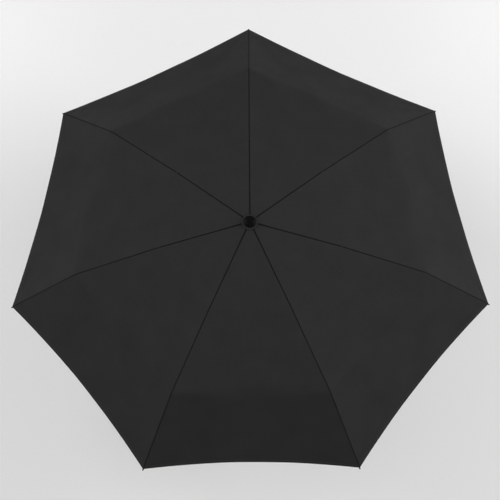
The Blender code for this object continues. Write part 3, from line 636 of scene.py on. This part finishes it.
def thread_look():
    """Twisted black sewing thread."""
    made, tree, shader = material("sewing_thread", Sheen_Weight=0.3, Sheen_Roughness=0.4)
    place = tree.nodes.new("ShaderNodeTexCoord").outputs["Object"]
    fibres = noise(tree, place, 3000, 2)
    shade(tree, shader, Base_Color=mixed(tree, fibres, (0.012, 0.012, 0.012),
                                         (0.05, 0.05, 0.052)))
    shade(tree, shader, Roughness=between(tree, fibres, 0.3, 0.7, 0.5, 0.8))
    shade(tree, shader, Normal=bump(tree, fibres, 0.5, 0.1 * MM))
    return made


def plastic_look(name, dark, light, rough, grain, depth, level=0.5):
    """Moulded plastic: fine grain, slight scuffs and a few pale scratches."""
    made, tree, shader = material(name, Specular_IOR_Level=level)
    place = tree.nodes.new("ShaderNodeTexCoord").outputs["Object"]
    fine = noise(tree, place, grain, 3)
    scuffs = noise(tree, place, 130, 5, 0.6)
    worn = between(tree, scuffs, 0.58, 0.75, 0, 1)
    stretched = node(tree, "Mapping", {"Vector": place, "Scale": (900, 900, 60),
                                       "Rotation": (0.6, 0.5, 0.2)})
    scratch = between(tree, noise(tree, stretched, 1, 1), 0.72, 0.78, 0, 0.35)
    shade(tree, shader, Base_Color=mixed(tree, maths(tree, "MAXIMUM", worn, scratch), dark, light))
    shade(tree, shader, Roughness=between(tree, scuffs, 0.3, 0.7, rough - 0.05, rough + 0.09))
    shade(tree, shader, Normal=bump(tree, fine, 0.35, depth))
    return made


def metal_look(name, dark, light, rough, along_shaft):
    """Plated or drawn metal, with fine lines, smudges and faint spangle."""
    made, tree, shader = material(name, Metallic=1.0)
    place = tree.nodes.new("ShaderNodeTexCoord").outputs["Object"]
    scale = (2600, 2600, 35) if along_shaft else (700, 700, 700)
    lines = noise(tree, node(tree, "Mapping", {"Vector": place, "Scale": scale}), 1, 3)
    smudges = noise(tree, place, 45, 4, 0.6)
    tone = maths(tree, "MULTIPLY_ADD", lines, 0.4, maths(tree, "MULTIPLY", smudges, 0.6))
    shade(tree, shader, Base_Color=mixed(tree, between(tree, tone, 0.3, 0.7, 0, 1), dark, light))
    shade(tree, shader, Roughness=between(tree, tone, 0.3, 0.7, rough - 0.06, rough + 0.12))
    shade(tree, shader, Normal=bump(tree, lines, 0.12, 0.05 * MM))
    return made


def paint_look():
    """Black painted steel, with orange peel and bare metal showing through in small chips."""
    made, tree, shader = material("painted_steel", Coat_Weight=0.2, Coat_Roughness=0.15)
    place = tree.nodes.new("ShaderNodeTexCoord").outputs["Object"]
    peel = noise(tree, place, 1400, 2)
    patches = noise(tree, place, 90, 5, 0.65)
    chips = maths(tree, "MULTIPLY", between(tree, patches, 0.66, 0.7, 0, 1),
                  between(tree, peel, 0.5, 0.56, 0, 1))
    paint = mixed(tree, patches, (0.014, 0.014, 0.0145), (0.03, 0.03, 0.031))
    shade(tree, shader, Base_Color=mixed(tree, chips, paint, (0.36, 0.36, 0.37)))
    shade(tree, shader, Metallic=chips)
    shade(tree, shader, Roughness=between(tree, patches, 0.3, 0.7, 0.3, 0.46))
    shade(tree, shader, Normal=bump(tree, peel, 0.3, 0.06 * MM))
    return made


def rod_look():
    """Glass fibre in black resin: faint strands and a satin gloss."""
    made, tree, shader = material("glass_fibre_rod", Coat_Weight=0.3, Coat_Roughness=0.2)
    place = tree.nodes.new("ShaderNodeTexCoord").outputs["Object"]
    strands = node(tree, "TexWave", {"Vector": place, "Scale": 700, "Distortion": 6,
                                     "Detail": 3, "Detail Scale": 2}, bands_direction="DIAGONAL")
    specks = noise(tree, place, 600, 3)
    tone = maths(tree, "MULTIPLY", strands, specks)
    shade(tree, shader, Base_Color=mixed(tree, tone, (0.012, 0.012, 0.012),
                                         (0.055, 0.055, 0.057)))
    shade(tree, shader, Roughness=between(tree, specks, 0.3, 0.7, 0.3, 0.5))
    shade(tree, shader, Normal=bump(tree, specks, 0.2, 0.05 * MM))
    return made


# small pieces


def turned(profile, sides):
    """Rings of points round +Z from (radius, height), as vertices and faces. The first and
    last points are on the axis."""
    vertices, faces = [(0, 0, profile[0][1])], []
    for radius, height in profile[1:-1]:
        for i in range(sides):
            a = 2 * math.pi * i / sides
            vertices.append((radius * math.cos(a), radius * math.sin(a), height))
    vertices.append((0, 0, profile[-1][1]))
    for i in range(sides):
        j = (i + 1) % sides
        faces.append((0, 1 + j, 1 + i))
        for ring in range(len(profile) - 3):
            low, high = 1 + ring * sides, 1 + (ring + 1) * sides
            faces.append((low + i, low + j, high + j, high + i))
        last = 1 + (len(profile) - 3) * sides
        faces.append((last + i, last + j, len(vertices) - 1))
    return vertices, faces


def shaped(name, vertices, faces, look, place, body, slot, crease=40):
    """A finished hard piece that rides on a body."""
    mesh = bpy.data.meshes.new(name)
    mesh.from_pydata(vertices, [], faces)
    mesh.transform(place)
    mesh.shade_smooth()
    mesh.set_sharp_from_angle(angle=math.radians(crease))
    mesh.materials.append(look)
    made = bpy.data.objects.new(name, mesh)
    bpy.context.scene.collection.objects.link(made)
    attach(made, body)
    return made


def bar_frame(rib, start, slope):
    """The matrix from a bar's own frame, +X along it and +Z to the canopy, to the world."""
    turn = Matrix.Rotation(FIRST_AZIMUTH - rib * STEP, 4, "Z")
    shift = Matrix.Translation((start[0], 0, start[1]))
    return turn @ shift @ Matrix.Rotation(-slope, 4, "Y")


def rivet_shape(side_from, side_to, spacer=None):
    """A domed rivet through bars that lie side by side, along a bar's +Y."""
    low, high = side_from - RIVET_GAP, side_to + RIVET_GAP
    pin, head, dome = RIVET_PIN, RIVET_HEAD, RIVET_DOME
    profile = [(0, low - dome), (head * 0.6, low - dome * 0.85), (head * 0.93, low - dome * 0.4),
               (head, low), (pin, low)]
    if spacer is not None:
        profile += [(pin, spacer[0]), (head * 0.85, spacer[0]), (head * 0.85, spacer[1]),
                    (pin, spacer[1])]
    profile += [(pin, high), (head, high), (head * 0.93, high + dome * 0.4),
                (head * 0.6, high + dome * 0.85), (0, high + dome)]
    return turned(profile, RIVET_SIDES)


LIE_ALONG_Y = Matrix.Rotation(math.radians(-90), 4, "X")


def wound(turns, radius):
    """Thread wound round a bar that runs along +X."""
    vertices, faces = [], []
    steps, sides = int(turns * STEPS_IN_A_TURN), THREAD_SIDES
    for i in range(steps + 1):
        a = 2 * math.pi * turns * i / steps
        advance = THREAD_PITCH * turns * (i / steps - 0.5)
        centre = Vector((advance, radius * math.cos(a), radius * math.sin(a)))
        way = Vector((0, math.cos(a), math.sin(a)))
        for j in range(sides):
            b = 2 * math.pi * j / sides
            lengthwise = Vector((THREAD_RADIUS * math.sin(b), 0, 0))
            vertices.append(centre + way * THREAD_RADIUS * math.cos(b) + lengthwise)
    for i in range(steps):
        for j in range(sides):
            k = (j + 1) % sides
            low, high = i * sides, (i + 1) * sides
            faces.append((low + j, low + k, high + k, high + j))
    faces.append(tuple(range(sides)))
    faces.append(tuple(steps * sides + j for j in reversed(range(sides))))
    return vertices, faces


def build_fittings(steel, thread):
    """The rivets of the linkage, and the ties that hold the canopy to the ribs."""
    foot = pivot("stretcher")
    upper = rivet_shape(*UPPER_RIVET, UPPER_SPACER)
    lower = rivet_shape(*LOWER_RIVET)
    tie = wound(4.5, TIE_RADIUS)
    rod_tie = wound(4.5, ROD_TIE_RADIUS)
    tip_tie = wound(3.5, TIP_TIE_RADIUS)
    for rib in range(RIBS):
        number = rib + 1
        inner = bar_frame(rib, CROWN, INNER_SLOPE)
        stretcher = bar_frame(rib, foot, STRETCHER_SLOPE)
        middle = bar_frame(rib, JOINT_1, MIDDLE_SLOPE)
        outer = bar_frame(rib, JOINT_2, OUTER_SLOPE)
        at_stretcher = inner @ Matrix.Translation((STRETCHER_REACH, 0, 0)) @ LIE_ALONG_Y
        shaped(f"rivet_upper_{number}", *upper, steel, at_stretcher, f"inner_rib_{number}",
               "zinc_steel")
        at_link = Matrix.Translation((STRETCHER_LENGTH - LINK_OFFSET, 0, 0)) @ LIE_ALONG_Y
        shaped(f"rivet_lower_{number}", *lower, steel, stretcher @ at_link,
               f"stretcher_{number}", "zinc_steel")
        for name, body, bar, place, shape in (
            ("inner", "inner_rib", inner, (120 * MM, 0, 0), tie),
            ("middle", "middle_rib", middle, (90 * MM, 0, -JOINT_RISE), tie),
            ("outer", "outer_rib", outer, (22 * MM, 0, JOINT_RISE), rod_tie),
            ("outer_low", "outer_rib", outer, (100 * MM, 0, JOINT_RISE), rod_tie),
            ("tip", "outer_rib", outer, (OUTER_LENGTH - 16 * MM, 0, JOINT_RISE), tip_tie),
        ):
            shaped(f"tie_{name}_{number}", *shape, thread, bar @ Matrix.Translation(place),
                   f"{body}_{number}", "black_fabric", 80)


def build_disc(look):
    """The small round of cloth under the cap, its edge turned and stitched."""
    low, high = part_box("cap_disc")
    top, bottom = high.z, low.z
    rings = [
        (STUD_RADIUS + 0.4 * MM, top), (8 * MM, top), (12 * MM, top - 0.05 * MM),
        (13.4 * MM, top - 0.25 * MM), (13.9 * MM, top - 0.42 * MM), (14.4 * MM, top - 0.32 * MM),
        (15.1 * MM, top - 0.5 * MM), (DISC_RADIUS, top - 0.75 * MM),
        (DISC_RADIUS - 0.1 * MM, bottom + 0.1 * MM), (14.6 * MM, bottom + 0.15 * MM),
        (12.4 * MM, bottom + 0.4 * MM), (STUD_RADIUS + 0.4 * MM, bottom + 0.5 * MM),
    ]
    vertices, faces = [], []
    for radius, height in rings:
        outward = smooth_step((radius - RIPPLE_START) / RIPPLE_RISE)
        for i in range(DISC_SIDES):
            a = 2 * math.pi * i / DISC_SIDES
            ripple = RIPPLE_HEIGHT * math.sin(a * RIPPLES + RIPPLE_TURN) * outward
            vertices.append((radius * math.cos(a), radius * math.sin(a), height + ripple))
    for ring in range(len(rings)):
        low_ring, high_ring = ring * DISC_SIDES, (ring + 1) % len(rings) * DISC_SIDES
        for i in range(DISC_SIDES):
            j = (i + 1) % DISC_SIDES
            faces.append((low_ring + i, high_ring + i, high_ring + j, low_ring + j))
    made = shaped("cap_disc_cloth", vertices, faces, look, Matrix(), "upper_shaft",
                  "black_fabric", 70)
    layer = made.data.uv_layers.new(name="cloth")
    for loop in made.data.loops:
        place = made.data.vertices[loop.vertex_index].co
        layer.data[loop.index].uv = (place.x, place.y + DISC_CUT)
    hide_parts("cap_disc")


# the CAD nodes' finishes


def finish_frame():
    """Gives each CAD node the detailed material of its kind, and returns the rivets' steel."""
    gloss = plastic_look("gloss_plastic", (0.0015, 0.0015, 0.0015), (0.004, 0.004, 0.004), 0.46,
                         700, 0.015 * MM, level=0.06)
    plastic = plastic_look("moulded_plastic", (0.011, 0.011, 0.0115), (0.032, 0.032, 0.033),
                           0.42, 2600, 0.06 * MM)
    grip = plastic_look("soft_touch_grip", (0.016, 0.016, 0.0165), (0.036, 0.036, 0.037), 0.62,
                        1500, 0.12 * MM)
    tube = metal_look("plated_tube", (0.5, 0.51, 0.53), (0.66, 0.67, 0.69), 0.24, True)
    steel = metal_look("zinc_plated_steel", (0.42, 0.43, 0.44), (0.6, 0.61, 0.62), 0.36, False)
    paint = paint_look()
    rod = rod_look()
    kinds = (
        ("top_cap", gloss), ("handle_grip", grip), ("handle_end_plug", plastic),
        ("crown_ring", steel), ("runner_ring", steel), ("catch", steel), ("strap_eye", steel),
        ("link", steel), ("crown", plastic), ("runner", plastic), ("inner_rib", paint),
        ("middle_rib", paint), ("stretcher", paint), ("outer_rib", rod),
        ("lower_tube_collar", plastic), ("middle_tube_collar", plastic),
        ("middle_tube_bush", plastic), ("top_tube_bush", plastic), ("lower_tube", tube),
        ("middle_tube", tube), ("top_tube", tube),
    )
    for name, made in frame["nodes"].items():
        look = next((look for start, look in kinds if name.startswith(start)), plastic)
        made.data.materials.clear()
        made.data.materials.append(look)
    return steel


# the stage


def area_light(name, place, aim, size, power):
    """A soft rectangular lamp."""
    lamp = bpy.data.lights.new(name, "AREA")
    lamp.shape = "RECTANGLE"
    lamp.size, lamp.size_y = size
    lamp.energy = power
    made = bpy.data.objects.new(name, lamp)
    made.location = place
    made.rotation_euler = (Vector(aim) - Vector(place)).to_track_quat("-Z", "Y").to_euler()
    bpy.context.scene.collection.objects.link(made)


def build_stage():
    """A pale floor, a surround that darkens upwards, and soft lamps at both sides and in front."""
    made, tree, shader = material("pale_floor", Roughness=0.7)
    place = tree.nodes.new("ShaderNodeTexCoord").outputs["Object"]
    grain = noise(tree, place, 220, 3)
    shade(tree, shader, Base_Color=mixed(tree, grain, (0.83, 0.83, 0.825), (0.87, 0.87, 0.865)))
    mesh = bpy.data.meshes.new("floor")
    far = FLOOR_REACH
    mesh.from_pydata([(-far, -far, 0), (far, -far, 0), (far, far, 0), (-far, far, 0)], [],
                     [(0, 1, 2, 3)])
    mesh.materials.append(made)
    floor = bpy.data.objects.new("floor", mesh)
    bpy.context.scene.collection.objects.link(floor)

    world = bpy.data.worlds.new("studio")
    bpy.context.scene.world = world
    world.use_nodes = True
    tree = world.node_tree
    way = tree.nodes.new("ShaderNodeTexCoord").outputs["Generated"]
    parts = tree.nodes.new("ShaderNodeSeparateXYZ")
    tree.links.new(way, parts.inputs[0])
    height = between(tree, parts.outputs[2], *DARKENS, 0, 1)
    colour = mixed(tree, height, (HORIZON,) * 3, (ZENITH,) * 3)
    tree.links.new(colour, tree.nodes["Background"].inputs["Color"])

    centre = Vector((0, 0, LAMP_AIM))
    for name, way, size, power in LAMPS:
        area_light(name, centre + Vector(way).normalized() * LAMP_DISTANCE, centre, size, power)


def build_camera():
    """The camera, above and a little in front. It aims just off the shaft's line, and is turned
    slightly about its own line of sight."""
    centre = Vector((0, 0, TIP[1]))
    back = Vector((0, -math.sin(TILT), math.cos(TILT)))
    rise = Vector((0, math.cos(TILT), math.sin(TILT)))
    lens = bpy.data.cameras.new("camera")
    lens.sensor_width = SENSOR
    lens.lens = LENS
    lens.clip_end = CLIP_END
    made = bpy.data.objects.new("camera", lens)
    made.location = centre + back * DISTANCE
    target = centre + rise * AIM_RISE
    way = (made.location - target).normalized()
    right = Matrix.Rotation(-ROLL, 3, way) @ rise.cross(way).normalized()
    made.matrix_world = Matrix.Translation(made.location) @ Matrix(
        (right, way.cross(right), way)
    ).transposed().to_4x4()
    bpy.context.scene.collection.objects.link(made)
    bpy.context.scene.camera = made


bpy.context.scene.view_settings.view_transform = "Standard"
build_camera()
build_stage()
zinc = finish_frame()
fabric = cloth_look()
build_canopy(fabric)
build_disc(fabric)
build_fittings(zinc, thread_look())
